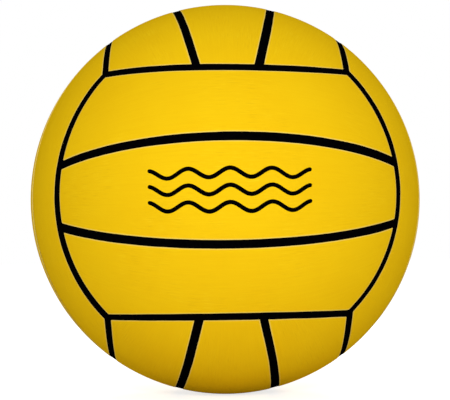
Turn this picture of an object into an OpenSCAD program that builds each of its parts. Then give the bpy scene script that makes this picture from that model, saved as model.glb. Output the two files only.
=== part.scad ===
// Inflated ball for play in water. Eighteen rubber strips in six groups of three
// cover a rubber carcass, a nylon winding and an air bladder with a valve.
// The origin is the ball's centre and +Z is up. The group that faces -Y has its
// strips along X, the side groups along Z, and the top and bottom groups along Y.
// The valve is in the middle strip of the group that faces +Y.

/* [Ball] */
// Diameter over the cover, inflated
ball_d = 221; // [180:1:260]

/* [Cover] */
// Thickness of a cover strip
cover_t = 1.1; // [0.9:0.1:2]
// Width of a channel between two strips, along the surface
channel_w = 4.1; // [2:0.1:6]
// Depth of a channel's floor below the strips
channel_depth = 0.4; // [0.1:0.05:0.6]
// Size of the bevel along a strip's long edges
edge_bevel = 0.25; // [0.1:0.05:0.4]
// Angle at the ball's centre between a group's middle and a channel inside it
strip_angle = 14.1; // [10:0.1:18]

/* [Layers] */
// Thickness of the rubber carcass
carcass_t = 0.4; // [0.3:0.05:1]
// Thickness of the nylon winding
winding_t = 0.35; // [0.25:0.05:0.8]
// Thickness of the bladder's wall
bladder_t = 0.8; // [0.4:0.05:1.2]
// Thickness of the cement between two bonded pieces
cement_t = 0.05; // [0.03:0.01:0.1]

/* [Valve patch] */
// Diameter of the reinforcing patch
patch_d = 38; // [34:1:50]
// Thickness of the reinforcing patch
patch_t = 0.6; // [0.3:0.1:1.2]

/* [Valve housing] */
// Diameter of the flange
flange_d = 30; // [22:1:32]
// Thickness of the flange
flange_t = 1.5; // [1:0.1:2.5]
// Wall of the neck round the core's head
neck_wall = 1; // [0.8:0.1:1.5]
// Depth of the neck's outer end below the cover
neck_recess = 0.3; // [0.1:0.1:0.6]
// Wall of the barrel round the core's stem
barrel_wall = 3; // [2:0.1:4]
// Length of the barrel, inwards from the flange
barrel_l = 16; // [10:1:24]
// Size of the bevel at the barrel's inner end
barrel_bevel = 1.2; // [0.5:0.1:2]
// Radius of the fillet between the flange and the barrel
barrel_fillet = 1.5; // [0.5:0.1:2]

/* [Valve core] */
// Diameter of the head
head_d = 7; // [6.4:0.1:8.5]
// Thickness of the head
head_t = 1.6; // [1:0.1:2.2]
// Depth of the head's top below the neck's outer end
head_recess = 0.4; // [0.2:0.1:0.8]
// Diameter of the stem
stem_d = 4.4; // [4:0.1:5.4]
// Gap all round the core in its housing
core_gap = 0.05; // [0.03:0.01:0.1]
// Diameter of the bulb that holds the core in
bulb_d = 6; // [5.6:0.1:8]
// Length of the bulb, tapered and straight parts together
bulb_l = 3.2; // [2:0.1:5]
// Length of the bulb's straight part
bulb_rim_l = 1; // [0.5:0.1:1.8]
// Diameter of the bulb's tip
tip_d = 4; // [3.4:0.1:4.4]
// Diameter of the hole that guides the needle
needle_hole_d = 2.2; // [1.8:0.1:2.6]
// Depth of that hole, from the head's top
needle_hole_l = 12; // [8:1:20]
// Diameter of the lead-in at its mouth
lead_in_d = 3.4; // [3:0.1:4]

/* [Hidden] */
$fn = 180;
cover_r = ball_d / 2;
carcass_r = cover_r - cover_t - cement_t;
winding_r = carcass_r - carcass_t - cement_t;
bladder_r = winding_r - winding_t - cement_t;
patch_r = bladder_r - bladder_t - cement_t;
flange_r = patch_r - patch_t - cement_t;
channel_r = cover_r - channel_depth;
// How far a strip, and the cut that makes room for it, stay clear of a seam's middle
strip_clearance = channel_w / 2;
cut_clearance = strip_clearance - cement_t;
// A strip's ends are bevelled a little deeper than its sides, at the same slope
end_bevel = edge_bevel + cement_t;
bevel_slope = 45;
// Three groups meet where all three coordinates are equal
border_angle = asin(sqrt(1 / 3));
// Cutting shapes run past the cover by this much
overrun = 5 * cover_t;
far_r = cover_r + overrun;

stem_hole_d = stem_d + 2 * core_gap;
head_hole_d = head_d + 2 * core_gap;
neck_d = head_hole_d + 2 * neck_wall;
barrel_d = stem_hole_d + 2 * barrel_wall;
valve_hole_d = neck_d + 2 * cement_t;
neck_top = cover_r - neck_recess;
head_top = neck_top - head_recess;
head_seat = head_top - head_t - core_gap;
barrel_end = flange_r - barrel_l;
bulb_top = barrel_end - core_gap;
lead_in_l = (lead_in_d - needle_hole_d) / 2;

cover_color = "#f9c80e";
channel_color = "#0b0b0c";
carcass_color = "#2a2a2c";
winding_color = "#e6e3da";
bladder_color = "#1d1e20";
housing_color = "#151516";
core_color = "#2c2d2f";

// Point of a wall in profile: at a radius, beside a seam that lies at an angle above
// the equator, and clear of the seam's middle by an offset above or below it
function beside(radius, angle, offset) =
    let (along = sqrt(radius * radius - offset * offset))
    [along * cos(angle) - offset * sin(angle), along * sin(angle) + offset * cos(angle)];

// Everything above the upper wall of the channel at an angle above the equator
module above_wall(angle, clearance) {
    lip = beside(far_r, angle, clearance);
    rotate_extrude()
        polygon([[0, clearance / cos(angle)], lip, [lip.x, 2 * far_r], [0, 2 * far_r]]);
}

// Everything between the channels at the two group borders beside the equator
module between_walls(clearance) {
    lip = beside(far_r, border_angle, -clearance);
    rotate_extrude()
        polygon([
            [clearance / sin(border_angle), 0],
            [lip.x, -lip.y], [far_r, -lip.y], [far_r, lip.y], lip,
        ]);
}

// Everything inside a bevel along that upper wall
module above_bevel(angle, bevel) {
    start = beside(cover_r - bevel, angle, strip_clearance);
    slope = angle + bevel_slope;
    rise = far_r - start.y;
    translate([0, 0, start.y - overrun])
        cylinder(
            h = rise + overrun,
            r1 = start.x - overrun / tan(slope),
            r2 = start.x + rise / tan(slope)
        );
}

// Everything between the bevels along the two group borders beside the equator
module between_bevels() {
    start = beside(cover_r - edge_bevel, border_angle, -strip_clearance);
    slope = border_angle - bevel_slope;
    axis_y = start.y - start.x * tan(slope);
    far_y = start.y + (far_r - start.x) * tan(slope);
    rotate_extrude()
        polygon([[0, -axis_y], [far_r, -far_y], [far_r, far_y], [0, axis_y]]);
}

module shell(outer_r, thickness) {
    difference() {
        sphere(outer_r);
        sphere(outer_r - thickness);
    }
}

// Tilts of the channels inside a group, for a strip of the group facing -Y: 1 upper,
// 0 middle, -1 lower
function lower_tilt(place) = place > 0 ? -strip_angle : strip_angle;
function upper_tilt(place) = place < 0 ? strip_angle : -strip_angle;

// What that strip's walls leave of the children
module within_walls(place, clearance) {
    intersection() {
        children();
        rotate([90, 0, 0]) above_wall(border_angle, clearance);
        between_walls(clearance);
        if (place >= 0) rotate([lower_tilt(place), 0, 0]) above_wall(0, clearance);
        if (place <= 0) rotate([upper_tilt(place), 0, 0]) mirror([0, 0, 1]) above_wall(0, clearance);
    }
}

// What that strip's bevels leave of the children
module within_bevels(place) {
    intersection() {
        children();
        rotate([90, 0, 0]) above_bevel(border_angle, end_bevel);
        between_bevels();
        if (place >= 0) rotate([lower_tilt(place), 0, 0]) above_bevel(0, edge_bevel);
        if (place <= 0) rotate([upper_tilt(place), 0, 0]) mirror([0, 0, 1]) above_bevel(0, edge_bevel);
    }
}

// Turns a strip of the group facing -Y to its place in another group
module seat(group) {
    if (group == "front") children();
    if (group == "back") rotate([0, 0, 180]) children();
    if (group == "left") rotate(-120, [1, 1, 1]) children();
    if (group == "right") rotate([0, 180, 0]) rotate(-120, [1, 1, 1]) children();
    if (group == "top") rotate([180, 0, 0]) rotate(120, [1, 1, 1]) children();
    if (group == "bottom") rotate(120, [1, 1, 1]) children();
}

module strip(group, place) {
    color(cover_color)
        seat(group)
            within_bevels(place) within_walls(place, strip_clearance) shell(cover_r, cover_t);
}

// Stands children that point up on the ball's centre, so that they point along +Y
module on_valve_axis() rotate([-90, 0, 0]) children();

module valve_hole() {
    on_valve_axis() cylinder(h = far_r, d = valve_hole_d);
}

module layer(outer_r, thickness) {
    difference() {
        shell(outer_r, thickness);
        valve_hole();
    }
}

module valve_panel() {
    color(cover_color)
        difference() {
            strip("back", 0);
            valve_hole();
        }
}

module seam_channels() {
    color(channel_color)
        difference() {
            shell(channel_r, channel_r - carcass_r - cement_t);
            for (group = ["front", "back", "left", "right", "top", "bottom"])
                for (place = [-1, 0, 1])
                    seat(group) within_walls(place, cut_clearance) sphere(cover_r);
        }
}

module carcass() color(carcass_color) layer(carcass_r, carcass_t);
module winding() color(winding_color) layer(winding_r, winding_t);
module bladder() color(bladder_color) layer(bladder_r, bladder_t);

module valve_patch() {
    color(bladder_color)
        intersection() {
            layer(patch_r, patch_t);
            on_valve_axis() cylinder(h = far_r, d = patch_d);
        }
}

// Ring that fills the corner between the flange and the barrel
module flange_fillet() {
    inner = flange_r - flange_t;
    translate([0, 0, inner - barrel_fillet])
        rotate_extrude()
            difference() {
                translate([stem_hole_d / 2, 0])
                    square([barrel_d / 2 - stem_hole_d / 2 + barrel_fillet, barrel_fillet]);
                translate([barrel_d / 2 + barrel_fillet, 0]) circle(barrel_fillet);
            }
}

module housing_body() {
    intersection() {
        shell(flange_r, flange_t);
        on_valve_axis() cylinder(h = far_r, d = flange_d);
    }
    intersection() {
        sphere(neck_top);
        on_valve_axis() translate([0, 0, flange_r - flange_t]) cylinder(h = far_r, d = neck_d);
    }
    on_valve_axis() {
        translate([0, 0, barrel_end + barrel_bevel])
            cylinder(h = flange_r - flange_t / 2 - barrel_end - barrel_bevel, d = barrel_d);
        translate([0, 0, barrel_end])
            cylinder(h = barrel_bevel, d1 = barrel_d - 2 * barrel_bevel, d2 = barrel_d);
        flange_fillet();
    }
}

module valve_housing() {
    color(housing_color)
        difference() {
            housing_body();
            on_valve_axis() {
                cylinder(h = far_r, d = stem_hole_d);
                translate([0, 0, head_seat]) cylinder(h = far_r, d = head_hole_d);
            }
        }
}

module core_body() {
    translate([0, 0, head_top - head_t]) cylinder(h = head_t, d = head_d);
    translate([0, 0, bulb_top - bulb_rim_l])
        cylinder(h = head_top - head_t / 2 - bulb_top + bulb_rim_l, d = stem_d);
    translate([0, 0, bulb_top - bulb_rim_l]) cylinder(h = bulb_rim_l, d = bulb_d);
    translate([0, 0, bulb_top - bulb_l]) cylinder(h = bulb_l - bulb_rim_l, d1 = tip_d, d2 = bulb_d);
}

module valve_core() {
    color(core_color)
        on_valve_axis()
            difference() {
                core_body();
                translate([0, 0, head_top - needle_hole_l])
                    cylinder(h = needle_hole_l + overrun, d = needle_hole_d);
                translate([0, 0, head_top - lead_in_l])
                    cylinder(h = 2 * lead_in_l, d1 = needle_hole_d, d2 = 2 * lead_in_d - needle_hole_d);
            }
}

strip("front", 1);  // panel_front_upper
strip("front", 0);  // panel_front_middle
strip("front", -1);  // panel_front_lower
strip("back", 1);  // panel_back_upper
valve_panel();  // panel_back_middle
strip("back", -1);  // panel_back_lower
strip("left", -1);  // panel_left_front
strip("left", 0);  // panel_left_middle
strip("left", 1);  // panel_left_back
strip("right", -1);  // panel_right_front
strip("right", 0);  // panel_right_middle
strip("right", 1);  // panel_right_back
strip("top", -1);  // panel_top_left
strip("top", 0);  // panel_top_middle
strip("top", 1);  // panel_top_right
strip("bottom", -1);  // panel_bottom_left
strip("bottom", 0);  // panel_bottom_middle
strip("bottom", 1);  // panel_bottom_right
seam_channels();
carcass();
winding();
bladder();
valve_patch();
valve_housing();
valve_core();
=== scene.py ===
import functools
import math

import bmesh
import bpy
import numpy as np
from mathutils import Matrix, Vector


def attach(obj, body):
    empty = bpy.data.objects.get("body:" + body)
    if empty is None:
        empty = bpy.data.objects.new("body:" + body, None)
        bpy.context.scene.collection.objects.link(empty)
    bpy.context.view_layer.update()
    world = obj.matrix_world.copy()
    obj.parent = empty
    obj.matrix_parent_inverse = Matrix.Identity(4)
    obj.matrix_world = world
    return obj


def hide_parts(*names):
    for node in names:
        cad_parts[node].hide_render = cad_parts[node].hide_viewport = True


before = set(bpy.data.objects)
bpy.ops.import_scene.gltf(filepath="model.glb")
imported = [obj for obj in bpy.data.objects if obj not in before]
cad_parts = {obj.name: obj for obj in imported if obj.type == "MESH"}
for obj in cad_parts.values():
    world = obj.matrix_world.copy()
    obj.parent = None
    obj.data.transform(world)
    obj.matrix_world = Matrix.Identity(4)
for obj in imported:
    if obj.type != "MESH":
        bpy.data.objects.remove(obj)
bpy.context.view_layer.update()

# Lengths are in metres and angles in radians, except where a name or a comment says
# otherwise. A unit point is a point of the ball's surface, as if its radius were 1.
MM = 0.001
# The ball's radius and the thickness of its cover
BALL_R = 110.5 * MM
COVER_T = 1.1 * MM

# The camera, fitted to the seams and the outline. It looks at the ball's centre from
# seven radii away, and the shift puts the centre where the photograph has it.
IMAGE_W = 450
FOCAL_PX = 1347.5
SENSOR_MM = 36.0
CAMERA_DISTANCE = 7.0 * BALL_R
CAMERA_YAW, CAMERA_PITCH, CAMERA_ROLL = (math.radians(a) for a in (-1.39, 2.54, 0.77))
CENTRE_RIGHT_PX, CENTRE_UP_PX = 0.15, 0.6
CLIP_START, CLIP_END = 0.01, 100

# The pattern of seams. A group's border is a circle at this latitude, the seams inside a
# group are planes through the centre at this tilt, and the strips between the two have
# their middles midway.
BORDER = math.asin(math.sqrt(1 / 3))
TILT = math.radians(14.12)
MIDWAY = (BORDER + TILT) / 2
# Segments along the outer and the middle part of a border, and where the first and the
# last segment are split again, so that the corners come out crisp
OUTER_STEPS, MIDDLE_STEPS = 32, 19
CORNER_SPLIT_SHARES = (0.1, 0.22, 0.36, 0.55)

# The painted width of a regular seam, and how far the paint runs over the strips' edges
SEAM_W = 4.5 * MM
PAINT_REACH = 0.14 * MM
# How far the strips' walls wander, and the waves of which that is the sum: how many, of
# what pitch in radii of the ball, how much that varies, and the seed of their places
WALL_WANDER = 0.05 * MM
WANDER_WAVES, WANDER_PITCH, WANDER_SPREAD, WANDER_SEED = 9, 0.16, (0.5, 1.3), 5

# The radii of a strip's corners, seen from outside, and of its edges, and how far its
# face sinks beside its walls and in what distance that fades
CORNER_R = 0.1 * MM
WORN_CORNERS = {"panel_front_middle": 0.7 * MM}
EDGE_R = 0.24 * MM
PILLOW, PILLOW_FALL = 0.05 * MM, 1.6 * MM
# How far in from its walls a strip's loops lie, and how far in from the seams' middles
# the grid inside them starts
PANEL_RINGS = [x * MM for x in (0, 0.03, 0.08, 0.15, 0.23, 0.32, 0.42, 0.55, 0.8, 1.2, 1.8, 2.6)]
INNER_LOOP = 5.6 * MM
# How often the search for a loop halves its steps
HALVINGS = 30

# A channel's depth, how much of it is missing beside the walls and in what distance that
# fades, the gap between a wall and the channel's rubber, and the loops outwards from it
CHANNEL_DEPTH = 0.22 * MM
CHANNEL_LIP, CHANNEL_FALL = 0.06 * MM, 0.22 * MM
BOND_GAP = 0.02 * MM
CHANNEL_RINGS = [x * MM for x in (0, 0.08, 0.18, 0.32, 0.5, 0.75)]
# Inside these groups the channels grow this much deeper, over this stretch of distances
# from the group's border, and the paint's edge lies this far outside the walls, so that
# they stay bare
BARE_GROUPS = ("left", "right")
DEEPER, DEEPER_SPAN = 0.5 * MM, (3 * MM, 10 * MM)
BARE_WALL = 0.3 * MM

# The hole for the valve, the half size in cells of the block of the grid that is cut
# out for it, and how its rings are spaced out to that block
HOLE_R = 4.6 * MM
HOLE_BLOCK = 6
HOLE_SHARES = (0.2, 0.45, 0.72)

# Three printed wave lines on the front middle strip: their length, pitch, rise and
# width, their heights, the steps along them and in their round caps, and how much of a
# cap's tip is left off
WAVE_L, WAVE_PITCH, WAVE_RISE, WAVE_W = 84 * MM, 21 * MM, 2.3 * MM, 2.2 * MM
WAVE_HEIGHTS = {"lower": -8.5 * MM, "middle": 0.0, "upper": 8.5 * MM}
WAVE_STEPS, WAVE_CAP_STEPS = 241, 12
WAVE_TIP = 0.004 * MM
# The ink's section, as shares of the half width and as heights over the strip
INK_SIDE_SHARES = (-1, -1, -0.93, 0.93, 1, 1)
INK_LIFTS = [x * MM for x in (-0.08, 0.02, 0.035, 0.035, 0.02, -0.08)]

# The valve, as radii round the +Y axis and heights from the ball's centre
NECK_TOP, HEAD_TOP, HEAD_T = 110.2 * MM, 109.8 * MM, 1.6 * MM
NECK_R, HEAD_HOLE_R, HEAD_R = 4.55 * MM, 3.55 * MM, 3.5 * MM
STEM_HOLE_R, STEM_R, NEEDLE_R, LEAD_IN_R = 2.25 * MM, 2.2 * MM, 1.1 * MM, 1.7 * MM
CORE_GAP, NEEDLE_L = 0.05 * MM, 12.0 * MM
FLANGE_R, FLANGE_T, FLANGE_REACH = 107.0 * MM, 1.5 * MM, 15.0 * MM
BARREL_R, BARREL_BEVEL, BARREL_FILLET = 5.25 * MM, 1.2 * MM, 1.5 * MM
BARREL_END = FLANGE_R - 16.0 * MM
BULB_R, BULB_L, BULB_RIM_L, TIP_R = 3.0 * MM, 3.2 * MM, 1.0 * MM, 2.0 * MM
# How far the flange's rim is lifted underneath, and how far from the neck its top starts
RIM_LIFT, NECK_FOOT = 0.1 * MM, 0.4 * MM
# How far from a corner of the valve's outlines a rounding starts
SLIGHT_ROUND, SMALL_ROUND, PLAIN_ROUND = 0.1 * MM, 0.2 * MM, 0.3 * MM
NECK_ROUND, NECK_MOUTH_ROUND, LEAD_IN_ROUND = 0.28 * MM, 0.22 * MM, 0.15 * MM
HEAD_ROUND, TIP_ROUND = 0.35 * MM, 0.5 * MM
RIM_UNDER_ROUND, RIM_TOP_ROUND = 0.4 * MM, 0.6 * MM
# Steps round the axis, round a corner, and across the flange's under and upper side
TURN_STEPS, CORNER_STEPS, UNDER_STEPS, UPPER_STEPS = 96, 6, 6, 8

# Points closer than this are one, and edges that turn by more than this stay sharp
MERGE_DISTANCE = 1e-7
SHARP, TURNED_SHARP = math.radians(50), math.radians(40)

# Colours, from 0 to 255 in sRGB
# The third yellow is a painted highlight: a paler yellow along the strips' edges and bare walls
# beside the black paint
YELLOW, YELLOW_DEEP, YELLOW_PAINTED_HIGHLIGHT = (249, 204, 19), (244, 195, 16), (248, 218, 116)
YELLOW_SCUFF, YELLOW_RUBBED = (222, 172, 20), (255, 218, 40)
BLACK, BLACK_SOFT = (1, 1, 2), (5, 4, 6)
INK, INK_WORN = (2, 2, 3), (14, 13, 12)
THREAD, THREAD_DULL, LATEX = (222, 216, 196), (188, 180, 156), (96, 88, 68)
CARCASS_LOW, CARCASS_HIGH = (26, 25, 26), (44, 43, 42)
BLADDER_LOW, BLADDER_HIGH = (17, 17, 19), (33, 33, 35)
PATCH_LOW, PATCH_HIGH = (22, 22, 23), (58, 57, 55)
HOUSING_GREY, CORE_GREY = (20, 20, 22), (38, 38, 41)
# How many times lighter the valve's dusty places are, and how many times finer than its
# clouds the dust on sheet rubber is
DUST_GAIN, DUST_FINENESS = 1.9, 9

# Most of a noise's values lie between these
NOISE_SPAN = (0.3, 0.7)
# How much mottle, faint lines and clouds deepen the yellow, and what shares the lines
# and the grain have in its relief
MOTTLE_SHARE, LINES_SHARE, CLOUD_SHARE = 0.55, 0.45, 0.25
LINES_RELIEF_SHARE, GRAIN_RELIEF_SHARE = 0.7, 0.3
# Waves a millimetre, along and across a strip, of its faint lines and of its streaks,
# and the streaks' two kinds: where they start and end in the noise, their share and tint
LINE_SCALES, STREAK_SCALES = (0.03, 0.9), (0.13, 1.7)
STREAKS = (((0.58, 0.74), 0.32, YELLOW_SCUFF), ((0.42, 0.28), 0.35, YELLOW_RUBBED))
# Millimetres from the paint over which a painted highlight makes the yellow paler, and by what share
HIGHLIGHT_SPAN_MM, HIGHLIGHT_SHARE = (0.3, 0.85), 0.75
# How far the paint's edge strays, in two sizes, as waves a metre and millimetres, and
# half the width in which it fades
RAGGED = ((130.0, 0.045), (600.0, 0.01))
PAINT_FADE_MM = 0.02
# Threads a metre, the scale that gives the Wave texture one band a metre, the scale of
# the places where a set of threads lies on top, and how each set is turned
THREADS_PER_M = 1100.0
BAND_SCALE = 2 * math.pi / 20
ON_TOP_SCALE = 14.0
THREAD_TURNS = ((0.2, 0.3), (1.1, 1.2), (2.0, 0.7), (2.7, 1.6), (0.7, 2.3))

# The floor's size, what it reflects and what it adds for the camera, the world's level,
# and the lamps: azimuth and elevation in degrees, power in watts, distance and size
FLOOR_SIZE = 60
FLOOR_ALBEDO = 0.8
FLOOR_GLOW = 0.75
WORLD_LEVEL = 0.5
KEY_PLACE, KEY_WATTS = (1.8, 11.5), 3.25
BACK_PLACE, BACK_WATTS = (170, 18), 1.5
LAMP_DISTANCE, LAMP_SIZE = 8 * BALL_R, 1.0 * BALL_R

# Which way each group faces, as rotations of the group that faces -Y: rows give the
# new X, Y and Z
SEATS = {
    "front": ((1, 0, 0), (0, 1, 0), (0, 0, 1)),
    "back": ((-1, 0, 0), (0, -1, 0), (0, 0, 1)),
    "left": ((0, 1, 0), (0, 0, 1), (1, 0, 0)),
    "right": ((0, -1, 0), (0, 0, 1), (-1, 0, 0)),
    "bottom": ((0, 0, 1), (1, 0, 0), (0, 1, 0)),
    "top": ((0, 0, 1), (-1, 0, 0), (0, -1, 0)),
}
# The strips of each group, from the lowest place in the group that faces -Y to the highest
PLACES = {
    "front": ("lower", "middle", "upper"),
    "back": ("lower", "middle", "upper"),
    "left": ("front", "middle", "back"),
    "right": ("front", "middle", "back"),
    "top": ("left", "middle", "right"),
    "bottom": ("left", "middle", "right"),
}
# The groups by the way they face
FACING = {
    (0, -1, 0): "front", (0, 1, 0): "back", (-1, 0, 0): "left",
    (1, 0, 0): "right", (0, 0, -1): "bottom", (0, 0, 1): "top",
}
# Seams that wander, by the group whose strips run along the seam and the group whose
# strips end at it, or by the group and the side of its middle strip. Each has the axis
# that it runs along and its span there, in radii of the ball. Then come, in millimetres
# and at even steps from the span's low end to its high end, its shifts away from the
# first group or from the middle strip, and its painted widths.
SEAM_FORMS = {
    ("front", "top"): (0, -0.56, 0.56, (0.2, 0.1, -0.7, -0.1), (4.4, 4.5, 4.1)),
    ("front", "bottom"): (0, -0.56, 0.56, (0.0, -0.5, -0.3), (3.9, 4.5, 4.4)),
    ("left", "front"): (2, -0.53, 0.53, (-0.7, 0.2, 0.6, -0.6), (6.3, 5.0)),
    ("right", "front"): (2, -0.53, 0.53, (2.0, 0.5, 0.1, -0.7), (4.6, 5.0, 5.6)),
    ("top", "left"): (1, -0.58, -0.45, (0.3,), (4.2,)),
    ("top", "right"): (1, -0.58, -0.45, (0.1,), (4.6,)),
    ("bottom", "left"): (1, -0.58, -0.45, (0.3,), (4.4,)),
    ("bottom", "right"): (1, -0.58, -0.45, (-0.7,), (4.4,)),
    ("front", 1): (0, -0.78, 0.78, (-0.6, -0.2, -0.6), (4.4, 5.0)),
    ("front", -1): (0, -0.78, 0.78, (0.1, 0.0), (4.8, 4.5, 4.5)),
    ("top", -1): (1, -0.58, -0.2, (-0.3, 0.4), (4.3,)),
    ("top", 1): (1, -0.58, -0.2, (-0.1, -0.3), (4.8, 4.5)),
    ("bottom", -1): (1, -0.58, -0.2, (-0.2, 0.8), (4.6,)),
    ("bottom", 1): (1, -0.58, -0.2, (0.4, -0.9), (4.3, 5.0)),
}


# The camera

def camera_frame():
    """The rotation that takes +X, +Y and +Z to the camera's right, forward and up."""
    return (
        Matrix.Rotation(CAMERA_YAW, 3, "Z")
        @ Matrix.Rotation(CAMERA_PITCH, 3, "X")
        @ Matrix.Rotation(CAMERA_ROLL, 3, "Y")
    )


def make_camera():
    data = bpy.data.cameras.new("camera")
    data.sensor_width = SENSOR_MM
    data.lens = SENSOR_MM * FOCAL_PX / IMAGE_W
    data.shift_x = -CENTRE_RIGHT_PX / IMAGE_W
    data.shift_y = -CENTRE_UP_PX / IMAGE_W
    data.clip_start, data.clip_end = CLIP_START, CLIP_END
    camera = bpy.data.objects.new("camera", data)
    bpy.context.scene.collection.objects.link(camera)
    turn = camera_frame()
    right, forward, up = (turn @ Vector(v) for v in ((1, 0, 0), (0, 1, 0), (0, 0, 1)))
    turned = Matrix((right, up, -forward)).transposed().to_4x4()
    camera.matrix_world = Matrix.Translation(-forward * CAMERA_DISTANCE) @ turned
    bpy.context.scene.camera = camera


# Meshes

def unit(p):
    """Points p moved to the unit sphere."""
    return p / np.linalg.norm(p, axis=-1, keepdims=True)


def new_piece(name, verts, faces, fields=None, sharp=SHARP):
    """A closed mesh piece with smooth faces, sharp only where it turns a corner."""
    mesh = bpy.data.meshes.new(name)
    points = [tuple(map(float, v)) for v in verts]
    mesh.from_pydata(points, [], [tuple(map(int, face)) for face in faces])
    for field, values in (fields or {}).items():
        made = mesh.attributes.new(field, "FLOAT_VECTOR", "POINT")
        made.data.foreach_set("vector", np.asarray(values, np.float32).ravel())
    shape = bmesh.new()
    shape.from_mesh(mesh)
    bmesh.ops.remove_doubles(shape, verts=shape.verts, dist=MERGE_DISTANCE)
    bmesh.ops.recalc_face_normals(shape, faces=shape.faces)
    shape.to_mesh(mesh)
    shape.free()
    mesh.shade_smooth()
    mesh.set_sharp_from_angle(angle=sharp)
    piece = bpy.data.objects.new(name, mesh)
    bpy.context.scene.collection.objects.link(piece)
    return piece


def between(outer, inner):
    """Faces between two loops of vertex numbers, the outer one first."""
    count = len(outer)
    pairs = [(i, (i + 1) % count) for i in range(count)]
    return [(outer[i], outer[after], inner[after], inner[i]) for i, after in pairs]


# The strips and the channels between them

def split_shares(steps):
    """Shares from 0 to 1 in even steps, with more of them near both ends."""
    near = np.array(CORNER_SPLIT_SHARES) / steps
    return np.sort(np.concatenate([np.linspace(0, 1, steps + 1), near, 1 - near]))


def long_shares():
    """Shares along a long side. Its neighbours' seams meet it at two of them."""
    meet = math.asin(math.tan(TILT) * math.sin(BORDER) / math.cos(BORDER))
    corner = math.pi / 4
    stops = (-corner, -meet, meet, corner)
    steps = (OUTER_STEPS, MIDDLE_STEPS, OUTER_STEPS)
    parts = [
        start + (stop - start) * split_shares(count)[:-1]
        for start, stop, count in zip(stops, stops[1:], steps)
    ]
    return (np.concatenate(parts + [[corner]]) / corner + 1) / 2


def seam_side(tilt, sign, inset, shares):
    """Line beside a seam inside a group, inset from it above or below."""
    normal = np.array([0, math.sin(tilt), math.cos(tilt)])
    forward = np.array([0, -math.cos(tilt), math.sin(tilt)])
    sideways = np.array([1.0, 0, 0])
    end = math.sin(BORDER + inset) + math.sin(tilt) * sign * math.sin(inset)
    turn = (2 * shares - 1) * math.acos(end / (math.cos(inset) * math.cos(tilt)))
    ring = np.cos(turn)[:, None] * forward + np.sin(turn)[:, None] * sideways
    return normal * sign * math.sin(inset) + math.cos(inset) * ring


def border_side(sign, inset, shares):
    """Line beside a group's upper or lower border, inset from it."""
    height, radius = sign * math.sin(BORDER - inset), math.cos(BORDER - inset)
    turn = (2 * shares - 1) * math.acos(math.sin(BORDER + inset) / radius)
    z = np.full(len(turn), height)
    return np.stack([radius * np.sin(turn), -radius * np.cos(turn), z], -1)


def end_side(sign, inset, low, high, steps):
    """Line beside a group's left or right border, from one corner's height to another's."""
    radius = math.cos(BORDER + inset)
    first, last = math.asin(low / radius), math.asin(high / radius)
    turn = first + (last - first) * split_shares(steps)
    y = np.full(len(turn), -math.sin(BORDER + inset))
    return np.stack([sign * radius * np.cos(turn), y, radius * np.sin(turn)], -1)


def sides(place, inset):
    """The four sides of a strip of the group that faces -Y, inset all round."""
    shares = long_shares()
    if place < 0:
        low = border_side(-1, inset, shares)
    else:
        low = seam_side(-TILT if place == 0 else TILT, 1, inset, shares)
    if place > 0:
        high = border_side(1, inset, shares)
    else:
        high = seam_side(TILT if place == 0 else -TILT, -1, inset, shares)
    steps = MIDDLE_STEPS if place == 0 else OUTER_STEPS
    left = end_side(-1, inset, low[0, 2], high[0, 2], steps)
    right = end_side(1, inset, low[-1, 2], high[-1, 2], steps)
    return low, right, high, left


def loop_of(low, right, high, left):
    """The four sides as one loop, anticlockwise from outside."""
    return np.concatenate([low[:-1], right[:-1], high[:0:-1], left[:0:-1]])


def wander(p):
    """Smooth noise at points p, mostly from -1 to 1."""
    rng = np.random.default_rng(WANDER_SEED)
    total = np.zeros(p.shape[:-1])
    for _ in range(WANDER_WAVES):
        wave = rng.normal(size=3)
        wave *= 2 * math.pi / WANDER_PITCH / np.linalg.norm(wave) * rng.uniform(*WANDER_SPREAD)
        total += np.sin(p @ wave + rng.uniform(0, 2 * math.pi))
    return total / (WANDER_WAVES / 2)


@functools.cache
def curve_through(values):
    """The polynomial that has these values at even steps from 0 to 1."""
    return np.polyfit(np.linspace(0, 1, len(values)), values, len(values) - 1)


def seam_form(key, p):
    """A seam's shift and its width beside unit points p."""
    if key not in SEAM_FORMS:
        return 0.0, SEAM_W
    axis, low, high, *measures = SEAM_FORMS[key]
    share = np.clip((p[..., axis] - low) / (high - low), 0, 1)
    return [MM * np.polyval(curve_through(values), share) for values in measures]


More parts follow.
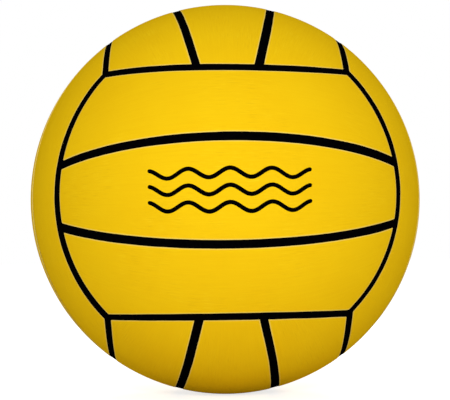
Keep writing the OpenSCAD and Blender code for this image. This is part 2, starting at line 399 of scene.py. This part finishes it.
class Strip:
    """One strip of the cover: its place, its seams and distances from them."""

    def __init__(self, group, place):
        self.group, self.place = group, place
        self.turn = np.array(SEATS[group], float)
        self.name = f"panel_{group}_{PLACES[group][place + 1]}"
        self.seams = [self.seam_of(side) for side in ("low", "right", "high", "left")]
        self.corner = WORN_CORNERS.get(self.name, CORNER_R)
        bare = BARE_WALL if group in BARE_GROUPS else 0.0
        self.bare = [bare if place > -1 else 0.0, 0.0, bare if place < 1 else 0.0, 0.0]

    def neighbour(self, direction):
        """The group on that side of the strip's own."""
        return FACING[tuple(int(round(x)) for x in self.turn @ np.array(direction))]

    def seam_of(self, side):
        """The key of the seam at a side, and 1 where its shifts lead away from the strip."""
        if side in ("left", "right"):
            way = 1 if side == "right" else -1
            return (self.neighbour((way, 0, 0)), self.group), -1
        way = 1 if side == "high" else -1
        if self.place == 0:
            return (self.group, way), 1
        if self.place == way:
            return (self.group, self.neighbour((0, 0, way))), 1
        return (self.group, self.place), -1

    def from_end(self, p):
        """The angle from unit points p to the border that the strip ends at."""
        return np.arcsin(np.clip(-p[..., 1], -1, 1)) - BORDER

    def depth(self, p):
        """How deep the channel beside the strip is at unit points p."""
        if self.group not in BARE_GROUPS:
            return CHANNEL_DEPTH
        low, high = DEEPER_SPAN
        share = np.clip((self.from_end(p) * BALL_R - low) / (high - low), 0, 1)
        # Only the channels inside the group grow deeper, not those along its border
        if self.place == 0:
            inner = 1.0
        else:
            inner = np.arctan2(p[..., 2], -p[..., 1]) * self.place < MIDWAY
        return CHANNEL_DEPTH + DEEPER * share ** 2 * (3 - 2 * share) * inner

    def from_sides(self, p):
        """The angles from unit points p to the strip's four sides, positive inside it."""
        x, y, z = p[..., 0], p[..., 1], p[..., 2]

        def above(tilt):
            return np.arcsin(np.clip(y * math.sin(tilt) + z * math.cos(tilt), -1, 1))

        if self.place < 0:
            low = BORDER + np.arcsin(np.clip(z, -1, 1))
        else:
            low = above(-TILT if self.place == 0 else TILT)
        if self.place > 0:
            high = BORDER - np.arcsin(np.clip(z, -1, 1))
        else:
            high = -above(TILT if self.place == 0 else -TILT)
        ends = self.from_end(p)
        far = np.ones(x.shape)
        return low, np.where(x > 0, ends, far), high, np.where(x < 0, ends, far)

    def clear(self, p, extra=(0, 0, 0, 0)):
        """How far unit points p lie from the strip's wall, positive inside it.

        extra moves the wall out at each side.
        """
        row = p @ self.turn.T
        drift = WALL_WANDER * wander(row)
        free = []
        for angle, (key, way), more in zip(self.from_sides(p), self.seams, extra):
            shift, width = seam_form(key, row)
            free.append(BALL_R * angle + way * shift - (width / 2 - PAINT_REACH + drift) + more)
        free = np.stack(free)
        short = np.clip(self.corner - free, 0, None)
        rounded = self.corner - np.sqrt((short ** 2).sum(0))
        return np.where((short > 0).any(0), rounded, free.min(0))

    def rings(self, targets):
        """Loops at these distances inside the wall, and the loop along the seams' middles.

        A loop at a negative distance lies outside the wall.
        """
        inner = loop_of(*sides(self.place, INNER_LOOP / BALL_R))
        outer = loop_of(*sides(self.place, 0))
        made = []
        for target in targets:
            near, far = np.zeros(len(inner)), np.ones(len(inner))
            for _ in range(HALVINGS):
                mid = (near + far) / 2
                p = unit(inner + mid[:, None] * (outer - inner))
                inside = self.clear(p) > target
                near, far = np.where(inside, mid, near), np.where(inside, far, mid)
            made.append(unit(inner + near[:, None] * (outer - inner)))
        return made, outer

    def seated(self, p, radius):
        """Unit points of the group that faces -Y, turned to this group, at a radius."""
        return (p * np.asarray(radius)[..., None]) @ self.turn.T

    def space(self, p):
        """Millimetres along the strip, across it, and in from where the paint starts."""
        across = np.arctan2(p[..., 2], -p[..., 1])
        along = np.arcsin(np.clip(p[..., 0], -1, 1))
        return np.stack([along * BALL_R, across * BALL_R, self.clear(p, self.bare)], -1) / MM


class StripMesh:
    """Points and faces beside one or more strips, with each point's place in strip_space."""

    def __init__(self):
        self.points, self.places, self.faces = [], [], []
        self.count = 0

    def add(self, strip, p, radius):
        """Adds unit points at a radius and gives their numbers, in the shape of p."""
        flat = p.reshape(-1, 3)
        self.points.append(strip.seated(flat, np.broadcast_to(radius, len(flat))))
        self.places.append(strip.space(flat))
        self.count += len(flat)
        return np.arange(self.count - len(flat), self.count).reshape(p.shape[:-1])

    def join(self, loops):
        """Adds the faces between loops, each inside the one before."""
        for outer, inner in zip(loops, loops[1:]):
            self.faces += between(outer, inner)

    def piece(self, name):
        """The finished piece, which carries the points' places."""
        space = {"strip_space": np.concatenate(self.places)}
        return new_piece(name, np.concatenate(self.points), self.faces, space)


def inner_grid(place):
    """The grid of unit points that fills a strip inside its inner loop."""
    low, right, high, left = sides(place, INNER_LOOP / BALL_R)
    right_share = long_shares()[:, None, None]
    high_share = np.linspace(0, 1, len(left))[None, :, None]
    left_share, low_share = 1 - right_share, 1 - high_share
    ruled = low_share * low[:, None] + high_share * high[:, None]
    across = left_share * left[None] + right_share * right[None]
    corners = (
        left_share * low_share * low[0] + right_share * low_share * low[-1]
        + left_share * high_share * high[0] + right_share * high_share * high[-1]
    )
    return unit(ruled + across - corners)


def panel_drop(inside):
    """How far a strip's face lies below the ball's radius, this far in from its wall."""
    short = np.clip(EDGE_R - inside, 0, EDGE_R)
    round_over = EDGE_R - np.sqrt(EDGE_R ** 2 - short ** 2)
    return round_over + PILLOW * np.exp(-np.clip(inside, 0, None) / PILLOW_FALL)


def grid_loop(numbers):
    """Vertex numbers round the edge of a grid, anticlockwise from outside."""
    low, right = numbers[:-1, 0], numbers[-1, :-1]
    high, left = numbers[:0:-1, -1], numbers[0, :0:-1]
    return np.concatenate([low, right, high, left])


def grid_faces(numbers, skip=None):
    """The faces of a grid, without those of the block of cells to skip."""
    faces = []
    for i in range(numbers.shape[0] - 1):
        for j in range(numbers.shape[1] - 1):
            if skip is None or not (skip[0] <= i < skip[1] and skip[2] <= j < skip[3]):
                low, high = numbers[i, j:j + 2], numbers[i + 1, j:j + 2]
                faces.append((low[0], high[0], high[1], low[1]))
    return faces


def hole_rings(block):
    """Loops of unit points from the valve hole's wall out to a block of the grid.

    With them come their distances from the valve's axis.
    """
    turn = np.arctan2(block[:, 2], block[:, 0])
    away = np.arccos(-block[:, 1]) * BALL_R
    steps = [np.full(len(turn), HOLE_R + x) for x in PANEL_RINGS]
    last = steps[-1]
    steps += [last + share * (away - last) for share in HOLE_SHARES]
    made = []
    for reach in steps:
        angle = reach / BALL_R
        x, z = np.sin(angle) * np.cos(turn), np.sin(angle) * np.sin(turn)
        made.append(np.stack([x, -np.cos(angle), z], -1))
    return made, steps


def cut_hole(mesh, strip, grid, face_grid, floor_grid):
    """Lines the valve hole in a strip, and gives the block of the grid that it takes."""
    middle = grid.shape[0] // 2, grid.shape[1] // 2
    block = [at + step for at in middle for step in (-1 - HOLE_BLOCK, HOLE_BLOCK)]
    cut = (slice(block[0], block[1] + 1), slice(block[2], block[3] + 1))
    edge = grid_loop(face_grid[cut])
    around, reaches = hole_rings(grid.reshape(-1, 3)[edge - face_grid[0, 0]])
    tops = [
        mesh.add(strip, p, BALL_R - panel_drop(reach - HOLE_R))
        for p, reach in zip(around, reaches)
    ]
    floors = [mesh.add(strip, p, BALL_R - COVER_T) for p in around]
    mesh.join([edge] + tops[::-1] + floors[:1])
    mesh.join([grid_loop(floor_grid[cut])] + floors[::-1])
    return block


def make_panel(strip, hole=False):
    """A strip with a rounded and slightly pillowed face, and a hole where the valve is."""
    mesh = StripMesh()
    rings, _ = strip.rings(PANEL_RINGS)
    grid = inner_grid(strip.place)
    loops = [mesh.add(strip, p, BALL_R - panel_drop(strip.clear(p))) for p in rings]
    face_grid = mesh.add(strip, grid, BALL_R - panel_drop(strip.clear(grid)).ravel())
    floor_loop = mesh.add(strip, rings[0], BALL_R - COVER_T)
    floor_grid = mesh.add(strip, grid, BALL_R - COVER_T)
    mesh.join([grid_loop(floor_grid), floor_loop] + loops + [grid_loop(face_grid)])
    block = cut_hole(mesh, strip, grid, face_grid, floor_grid) if hole else None
    mesh.faces += grid_faces(face_grid, block)
    mesh.faces += [face[::-1] for face in grid_faces(floor_grid, block)]
    return mesh.piece(strip.name + "_cover")


def channel_drop(outside, depth):
    """How far the channel's floor lies below the ball's radius, this far out from a wall."""
    return depth - CHANNEL_LIP * np.exp(-outside / CHANNEL_FALL)


def make_channels(strips):
    """The network of channels: a frame round each strip, joined along the seams' middles."""
    mesh = StripMesh()
    for strip in strips:
        rings, outer = strip.rings([-BOND_GAP - x for x in CHANNEL_RINGS])
        loops = [
            mesh.add(strip, p, BALL_R - channel_drop(x, strip.depth(p)))
            for p, x in zip(rings, CHANNEL_RINGS)
        ]
        loops.append(mesh.add(strip, outer, BALL_R - strip.depth(outer)))
        base_inner = mesh.add(strip, rings[0], BALL_R - COVER_T)
        base_outer = mesh.add(strip, outer, BALL_R - COVER_T)
        mesh.join(loops[::-1] + [base_inner, base_outer])
    return mesh.piece("channel_network")


# The print

def on_front(along, across):
    """Unit points of the front group at these distances along and across its strips."""
    side, up = np.asarray(along) / BALL_R, np.asarray(across) / BALL_R
    return np.stack([np.sin(side), -np.cos(side) * np.cos(up), np.cos(side) * np.sin(up)], -1)


def make_wave(name, height):
    """A printed wave line with round ends, at this height on the front middle strip."""
    turns = np.linspace(0, math.pi / 2, WAVE_CAP_STEPS, endpoint=False)
    cap = WAVE_W / 2 * (1 - np.cos(turns))
    reach = (WAVE_L - WAVE_W) / 2
    body = np.linspace(-reach, reach, WAVE_STEPS)
    x = np.concatenate([cap - WAVE_L / 2, body, WAVE_L / 2 - cap[::-1]])
    turn = 2 * math.pi * x / WAVE_PITCH
    y = height + WAVE_RISE * np.cos(turn)
    slope = -WAVE_RISE * 2 * math.pi / WAVE_PITCH * np.sin(turn)
    side = np.stack([-slope, np.ones_like(x)], -1) / np.hypot(slope, 1)[:, None]
    from_end = np.clip(WAVE_L / 2 - np.abs(x), WAVE_TIP, WAVE_W / 2)
    half = np.sqrt((WAVE_W / 2) ** 2 - (WAVE_W / 2 - from_end) ** 2)
    verts = []
    for share, lift in zip(INK_SIDE_SHARES, INK_LIFTS):
        p = on_front(x + share * half * side[:, 0], y + share * half * side[:, 1])
        verts.append(p * (BALL_R + lift))
    steps, corners = len(x), len(INK_LIFTS)
    total = steps * corners
    faces = [list(range(0, total, steps)), list(range(steps - 1, total, steps))]
    for corner in range(corners):
        here, there = corner * steps, (corner + 1) % corners * steps
        faces += [(here + i, here + i + 1, there + i + 1, there + i) for i in range(steps - 1)]
    return new_piece(name, np.concatenate(verts), faces)


# The valve

def softened(points):
    """A profile through points (x, y, radius), with each corner rounded by its radius."""
    made = []
    for i, (x, y, radius) in enumerate(points):
        corner = np.array([x, y])
        if radius <= 0:
            made.append(corner)
            continue
        before = np.array(points[i - 1][:2]) - corner
        after = np.array(points[(i + 1) % len(points)][:2]) - corner
        start = corner + before / np.linalg.norm(before) * radius
        stop = corner + after / np.linalg.norm(after) * radius
        for share in np.linspace(0, 1, CORNER_STEPS):
            rest = 1 - share
            made.append(rest ** 2 * start + 2 * share * rest * corner + share ** 2 * stop)
    return np.array(made)


def turned(name, profile, closed):
    """A piece turned round the +Y axis from points (radius, height), in metres."""
    angles = np.linspace(0, 2 * math.pi, TURN_STEPS, endpoint=False)
    verts, faces = [], []
    for angle in angles:
        verts += [(r * math.cos(angle), y, r * math.sin(angle)) for r, y in profile]
    count = len(profile)
    for step in range(TURN_STEPS):
        here, there = step * count, (step + 1) % TURN_STEPS * count
        for i in range(count if closed else count - 1):
            after = (i + 1) % count
            faces.append((here + i, here + after, there + after, there + i))
    return new_piece(name, verts, faces, sharp=TURNED_SHARP)


def on_sphere(radius, low, high, steps):
    """Profile points on a sphere round the centre, from one distance off the axis to another."""
    return [(r, math.sqrt(radius ** 2 - r ** 2), 0) for r in np.linspace(low, high, steps)]


def make_housing():
    """The rubber flange with its barrel inwards and its neck out to the surface."""
    seat = HEAD_TOP - HEAD_T - CORE_GAP
    under = FLANGE_R - FLANGE_T
    fillet = BARREL_R + BARREL_FILLET
    rim = FLANGE_REACH - FLANGE_T / 2
    points = [
        (STEM_HOLE_R, BARREL_END, SMALL_ROUND),
        (BARREL_R - BARREL_BEVEL, BARREL_END, PLAIN_ROUND),
        (BARREL_R, BARREL_END + BARREL_BEVEL, PLAIN_ROUND),
        (BARREL_R, math.sqrt(under ** 2 - fillet ** 2), BARREL_FILLET),
        *on_sphere(under, fillet, rim, UNDER_STEPS),
        (FLANGE_REACH, math.sqrt(under ** 2 - FLANGE_REACH ** 2) + RIM_LIFT, RIM_UNDER_ROUND),
        (FLANGE_REACH, math.sqrt(FLANGE_R ** 2 - FLANGE_REACH ** 2), RIM_TOP_ROUND),
        *on_sphere(FLANGE_R, rim, NECK_R + NECK_FOOT, UPPER_STEPS),
        (NECK_R, FLANGE_R, PLAIN_ROUND),
        (NECK_R, NECK_TOP, NECK_ROUND),
        (HEAD_HOLE_R, NECK_TOP, NECK_MOUTH_ROUND),
        (HEAD_HOLE_R, seat, SLIGHT_ROUND),
        (STEM_HOLE_R, seat, SLIGHT_ROUND),
    ]
    return turned("valve_housing_rubber", softened(points), True)


def make_core():
    """The rubber plug with its head, stem and bulb, and the blind hole for the needle."""
    hole_end = HEAD_TOP - NEEDLE_L
    under_head = HEAD_TOP - HEAD_T
    bulb = BARREL_END - CORE_GAP
    points = [
        (0, hole_end, 0),
        (NEEDLE_R, hole_end, SMALL_ROUND),
        (NEEDLE_R, HEAD_TOP - (LEAD_IN_R - NEEDLE_R), LEAD_IN_ROUND),
        (LEAD_IN_R, HEAD_TOP, SMALL_ROUND),
        (HEAD_R, HEAD_TOP, HEAD_ROUND),
        (HEAD_R, under_head, SMALL_ROUND),
        (STEM_R, under_head, SMALL_ROUND),
        (STEM_R, bulb, SMALL_ROUND),
        (BULB_R, bulb, PLAIN_ROUND),
        (BULB_R, bulb - BULB_RIM_L, PLAIN_ROUND),
        (TIP_R, bulb - BULB_L, TIP_ROUND),
        (0, bulb - BULB_L, 0),
    ]
    return turned("valve_core_rubber", softened(points), False)


# The materials

def linear(color, gain=1.0):
    """A colour from 0 to 255 in sRGB as Blender's linear colour, made lighter by a gain."""
    parts = [c / 255 for c in color]
    parts = [c / 12.92 if c <= 0.04045 else ((c + 0.055) / 1.055) ** 2.4 for c in parts]
    return tuple(gain * c for c in parts) + (1.0,)


class Nodes:
    """A short way to write the nodes of a material or a world."""

    def __init__(self, owner):
        owner.use_nodes = True
        self.owner, self.tree = owner, owner.node_tree

    def existing(self, kind):
        """The node of a kind that is there from the start."""
        return next(node for node in self.tree.nodes if node.type == kind)

    def put(self, socket, value):
        """Gives an input a value, or links it to an output."""
        if isinstance(value, bpy.types.NodeSocket):
            self.tree.links.new(value, socket)
        else:
            socket.default_value = value

    def node(self, kind, out=0, settings=None, **inputs):
        """The output of a new node, which takes its inputs by their names."""
        made = self.tree.nodes.new("ShaderNode" + kind)
        for key, value in (settings or {}).items():
            setattr(made, key, value)
        for key, value in inputs.items():
            self.put(made.inputs[key.replace("_", " ")], value)
        return made.outputs[out]

    def math(self, operation, *values, clamp=False):
        """The result of an operation on the values."""
        made = self.tree.nodes.new("ShaderNodeMath")
        made.operation, made.use_clamp = operation, clamp
        for socket, value in zip(made.inputs, values):
            self.put(socket, value)
        return made.outputs[0]

    def place(self):
        """A point's place on its piece, in metres."""
        return self.node("TexCoord", out=3)

    def noise(self, vector, scale, detail=2.0, roughness=0.5):
        return self.node("TexNoise", Vector=vector, Scale=scale, Detail=detail, Roughness=roughness)

    def drawn_out(self, along, across, scales, detail, roughness):
        """Noise with its own scale along a strip and across it."""
        x, y = self.math("MULTIPLY", along, scales[0]), self.math("MULTIPLY", across, scales[1])
        return self.noise(self.node("CombineXYZ", X=x, Y=y, Z=0.0), 1.0, detail, roughness)

    def spread(self, value, span, new_low, new_high):
        """value over its span becomes new_low to new_high, and stays between them."""
        made = self.tree.nodes.new("ShaderNodeMapRange")
        for socket, given in zip(made.inputs, (value, *span, new_low, new_high)):
            self.put(socket, given)
        return made.outputs[0]

    def mix(self, share, a, b):
        """From colour a to colour b by a share."""
        made = self.tree.nodes.new("ShaderNodeMix")
        made.data_type = "RGBA"
        for socket, value in ((made.inputs[0], share), (made.inputs[6], a), (made.inputs[7], b)):
            self.put(socket, value)
        return made.outputs[2]

    def bump(self, height, distance, strength):
        return self.node("Bump", Height=height, Distance=distance, Strength=strength)

    def finish(self, **inputs):
        """The material, with these inputs of its shader."""
        shader = self.existing("BSDF_PRINCIPLED")
        for key, value in inputs.items():
            self.put(shader.inputs[key.replace("_", " ")], value)
        return self.owner


def new_material(name):
    """The nodes of a new material."""
    return Nodes(bpy.data.materials.new(name))


def black_inputs(nodes, where):
    """The colour of black paint and rubber, and its grain."""
    grain = nodes.noise(where, scale=900.0, detail=3.0)
    shade = nodes.spread(grain, (0.35, 0.65), 0.0, 1.0)
    return nodes.mix(shade, linear(BLACK), linear(BLACK_SOFT)), grain


def yellow_rubber(nodes, where, along, across, mottle, lines):
    """Two yellows in clouds, mottle and faint lines, with patches of short streaks."""
    cloud = nodes.noise(where, scale=9.0, detail=1.0)
    mottled = nodes.spread(mottle, NOISE_SPAN, 0.0, MOTTLE_SHARE)
    lined = nodes.spread(lines, NOISE_SPAN, 0.0, LINES_SHARE)
    color = nodes.mix(nodes.math("ADD", mottled, lined), linear(YELLOW), linear(YELLOW_DEEP))
    clouded = nodes.spread(cloud, (0.35, 0.75), 0.0, CLOUD_SHARE)
    color = nodes.mix(clouded, color, linear(YELLOW_DEEP))
    streaks = nodes.drawn_out(along, across, STREAK_SCALES, detail=1.0, roughness=0.5)
    patch = nodes.spread(nodes.noise(where, scale=34.0, detail=1.0), (0.46, 0.62), 0.15, 1.0)
    for span, share, tint in STREAKS:
        shown = nodes.math("MULTIPLY", nodes.spread(streaks, span, 0.0, share), patch)
        color = nodes.mix(shown, color, linear(tint))
    return color


def painted_edge(nodes, where, inside):
    """1 where the black paint covers a strip, up to a ragged line along its edges."""
    coarse, fine = (
        nodes.spread(nodes.noise(where, scale), NOISE_SPAN, -stray, stray) for scale, stray in RAGGED
    )
    reach = nodes.math("ADD", nodes.math("ADD", coarse, fine), PAINT_REACH / MM)
    beyond = nodes.math("SUBTRACT", reach, inside)
    return nodes.spread(beyond, (-PAINT_FADE_MM, PAINT_FADE_MM), 0.0, 1.0)


def cover_material():
    """Matt yellow rubber, with a painted highlight that makes it paler beside the black paint at its
    edges.
    """
    nodes = new_material("cover_rubber")
    where = nodes.place()
    parts = nodes.tree.nodes.new("ShaderNodeSeparateXYZ")
    space = nodes.node("Attribute", out=1, settings={"attribute_name": "strip_space"})
    nodes.put(parts.inputs[0], space)
    along, across, inside = parts.outputs
    mottle = nodes.noise(where, scale=26.0, detail=3.0, roughness=0.55)
    lines = nodes.drawn_out(along, across, LINE_SCALES, detail=2.0, roughness=0.6)
    color = yellow_rubber(nodes, where, along, across, mottle, lines)
    # Painted highlight: a paler yellow along the strips' edges and over the bare walls, where light
    # would catch them
    edge_highlight = nodes.spread(inside, HIGHLIGHT_SPAN_MM, HIGHLIGHT_SHARE, 0.0)
    color = nodes.mix(edge_highlight, color, linear(YELLOW_PAINTED_HIGHLIGHT))
    black, _ = black_inputs(nodes, where)
    line_height = nodes.math("MULTIPLY", lines, LINES_RELIEF_SHARE)
    grain_height = nodes.math("MULTIPLY", nodes.noise(where, scale=1400.0), GRAIN_RELIEF_SHARE)
    height = nodes.math("ADD", line_height, grain_height)
    return nodes.finish(
        Base_Color=nodes.mix(painted_edge(nodes, where, inside), color, black),
        Roughness=nodes.spread(mottle, NOISE_SPAN, 0.5, 0.62),
        Specular_IOR_Level=0.0,
        Normal=nodes.bump(height, distance=0.02 * MM, strength=0.8),
    )


def channel_material():
    """Matt black rubber."""
    nodes = new_material("channel_rubber")
    black, grain = black_inputs(nodes, nodes.place())
    return nodes.finish(
        Base_Color=black,
        Roughness=nodes.spread(grain, NOISE_SPAN, 0.5, 0.7),
        Specular_IOR_Level=0.0,
        Normal=nodes.bump(grain, distance=0.02 * MM, strength=0.8),
    )


def ink_material():
    """Printed ink, worn a little thin."""
    nodes = new_material("print_ink")
    where = nodes.place()
    wear = nodes.noise(where, scale=420.0, detail=4.0, roughness=0.6)
    thin = nodes.spread(wear, (0.45, 0.8), 0.0, 0.35)
    return nodes.finish(
        Base_Color=nodes.mix(thin, linear(INK), linear(INK_WORN)),
        Roughness=nodes.spread(wear, NOISE_SPAN, 0.45, 0.6),
        Specular_IOR_Level=0.0,
        Normal=nodes.bump(nodes.noise(where, scale=1500.0), distance=0.01 * MM, strength=0.6),
    )


def plain_rubber(name, low, high, cloud_scale, grain_scale, roughness):
    """Sheet rubber: two tones in soft clouds, and a fine grain."""
    nodes = new_material(name)
    where = nodes.place()
    cloud = nodes.noise(where, cloud_scale, detail=3.0, roughness=0.55)
    grain = nodes.noise(where, grain_scale, detail=3.0)
    specks = nodes.noise(where, cloud_scale * DUST_FINENESS, detail=3.0)
    dust = nodes.spread(specks, (0.55, 0.8), 0.0, 0.25)
    tone = nodes.math("ADD", nodes.spread(cloud, NOISE_SPAN, 0.0, 1.0), dust, clamp=True)
    return nodes.finish(
        Base_Color=nodes.mix(tone, linear(low), linear(high)),
        Roughness=nodes.spread(cloud, NOISE_SPAN, roughness - 0.06, roughness + 0.08),
        Specular_IOR_Level=0.35,
        Normal=nodes.bump(grain, distance=0.03 * MM, strength=0.7),
    )


def thread_set(nodes, where, turn):
    """The directions that one set of threads is laid in, and its height."""
    laid = nodes.node(
        "VectorRotate", settings={"rotation_type": "EULER_XYZ"}, Vector=where, Rotation=(*turn, 0.0)
    )
    bands = {"wave_type": "BANDS", "bands_direction": "X"}
    thread = nodes.node(
        "TexWave", out=1, settings=bands, Vector=laid, Scale=THREADS_PER_M * BAND_SCALE,
        Distortion=3.0, Detail=1.0, Detail_Scale=0.3
    )
    return laid, thread


def winding_material():
    """Thread laid in many directions, each set of threads partly over the ones before."""
    nodes = new_material("winding_nylon")
    where = nodes.place()
    _, height = thread_set(nodes, where, THREAD_TURNS[0])
    for number, turn in enumerate(THREAD_TURNS[1:], 1):
        laid, thread = thread_set(nodes, where, turn)
        patches = nodes.noise(laid, ON_TOP_SCALE + number, detail=1.0)
        shown = nodes.spread(patches, (0.47, 0.53), 0.0, 1.0)
        over = nodes.math("MULTIPLY", nodes.math("MAXIMUM", height, thread), shown)
        under = nodes.math("MULTIPLY", height, nodes.math("SUBTRACT", 1.0, shown))
        height = nodes.math("ADD", over, under)
    tone = nodes.spread(nodes.noise(where, scale=300.0, detail=3.0), NOISE_SPAN, 0.0, 0.5)
    shade = nodes.mix(tone, linear(THREAD), linear(THREAD_DULL))
    return nodes.finish(
        Base_Color=nodes.mix(nodes.spread(height, (0.1, 0.6), 1.0, 0.0), shade, linear(LATEX)),
        Roughness=nodes.spread(height, (0.0, 1.0), 0.7, 0.45),
        Specular_IOR_Level=0.35,
        Normal=nodes.bump(height, distance=0.12 * MM, strength=0.9),
    )


def valve_material(name, color):
    """Moulded rubber with a little dust on it."""
    nodes = new_material(name)
    where = nodes.place()
    grain = nodes.noise(where, scale=1800.0, detail=4.0)
    dust = nodes.noise(where, scale=260.0, detail=3.0)
    dusty = nodes.spread(dust, (0.35, 0.75), 0.0, 0.6)
    return nodes.finish(
        Base_Color=nodes.mix(dusty, linear(color), linear(color, DUST_GAIN)),
        Roughness=nodes.spread(dust, NOISE_SPAN, 0.42, 0.58),
        Specular_IOR_Level=0.3,
        Normal=nodes.bump(grain, distance=0.03 * MM, strength=0.7),
    )


# The floor, the world and the lamps

def seen_directly(nodes):
    """1 for rays from the camera, and for those that a mirror or glass sends on."""
    path = nodes.tree.nodes.new("ShaderNodeLightPath")
    kinds = ("Is Camera Ray", "Is Glossy Ray", "Is Transmission Ray")
    camera, glossy, through = (path.outputs[kind] for kind in kinds)
    return nodes.math("MAXIMUM", nodes.math("MAXIMUM", camera, glossy), through)


def make_floor():
    """White paper under the ball, with a glow that is seen but doesn't light the ball."""
    bpy.ops.mesh.primitive_plane_add(size=FLOOR_SIZE, location=(0, 0, -BALL_R))
    floor = bpy.context.object
    floor.name = "floor"
    nodes = new_material("floor_paper")
    floor.data.materials.append(nodes.finish(
        Base_Color=(FLOOR_ALBEDO,) * 3 + (1,),
        Roughness=1.0,
        Specular_IOR_Level=0.0,
        Emission_Color=(1, 1, 1, 1),
        Emission_Strength=nodes.math("MULTIPLY", seen_directly(nodes), FLOOR_GLOW),
    ))


def make_world():
    """White where it is seen, and a dimmer light on the ball."""
    world = bpy.data.worlds.new("world")
    bpy.context.scene.world = world
    nodes = Nodes(world)
    background = nodes.existing("BACKGROUND")
    nodes.put(background.inputs["Color"], (1, 1, 1, 1))
    level = nodes.spread(seen_directly(nodes), (0.0, 1.0), WORLD_LEVEL, 1.0)
    nodes.put(background.inputs["Strength"], level)


def make_lamp(name, direction, watts):
    """A round lamp in a direction from the ball, turned to it."""
    data = bpy.data.lights.new(name, "AREA")
    data.shape, data.size, data.energy = "DISK", LAMP_SIZE, watts
    lamp = bpy.data.objects.new(name, data)
    bpy.context.scene.collection.objects.link(lamp)
    lamp.location = direction * LAMP_DISTANCE
    lamp.rotation_mode = "QUATERNION"
    lamp.rotation_quaternion = direction.to_track_quat("Z", "Y")
    lamp.visible_camera = False


def towards(azimuth_deg, elevation_deg):
    """A direction from the ball: its angle to the right of -Y, and up."""
    turn, rise = math.radians(azimuth_deg), math.radians(elevation_deg)
    level = math.cos(rise)
    return Vector((math.sin(turn) * level, -math.cos(turn) * level, math.sin(rise))).normalized()


# The scene

def dress(piece, material, node=None):
    """Gives a new piece its material and its body, and hides the CAD node that it stands in for."""
    piece.data.materials.append(material)
    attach(piece, "root")
    if node:
        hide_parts(node)


def dress_inner_layers():
    """New materials for the CAD nodes that stay as they are."""
    carcass = plain_rubber(
        "carcass_rubber", CARCASS_LOW, CARCASS_HIGH, cloud_scale=45, grain_scale=1300, roughness=0.62
    )
    bladder = plain_rubber(
        "bladder_butyl", BLADDER_LOW, BLADDER_HIGH, cloud_scale=18, grain_scale=900, roughness=0.38
    )
    patch = plain_rubber(
        "patch_rubber", PATCH_LOW, PATCH_HIGH, cloud_scale=70, grain_scale=1500, roughness=0.6
    )
    for node, material in (
        ("carcass", carcass),
        ("winding", winding_material()),
        ("bladder", bladder),
        ("valve_patch", patch),
    ):
        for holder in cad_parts[node].material_slots:
            holder.material = material


make_camera()
make_floor()
make_world()
make_lamp("key", camera_frame() @ towards(*KEY_PLACE), KEY_WATTS)
make_lamp("back", towards(*BACK_PLACE), BACK_WATTS)

strips = [Strip(group, place) for group in SEATS for place in (-1, 0, 1)]
cover, black, ink = cover_material(), channel_material(), ink_material()
for strip in strips:
    panel = make_panel(strip, hole=strip.name == "panel_back_middle")
    dress(panel, cover, strip.name)
for place, height in WAVE_HEIGHTS.items():
    dress(make_wave("print_wave_" + place, height), ink)
housing_rubber = valve_material("valve_rubber", HOUSING_GREY)
core_rubber = valve_material("core_rubber", CORE_GREY)
dress(make_housing(), housing_rubber, "valve_housing")
dress(make_core(), core_rubber, "valve_core")
dress_inner_layers()
dress(make_channels(strips), black, "seam_channels")

bpy.context.scene.view_settings.view_transform = "Standard"
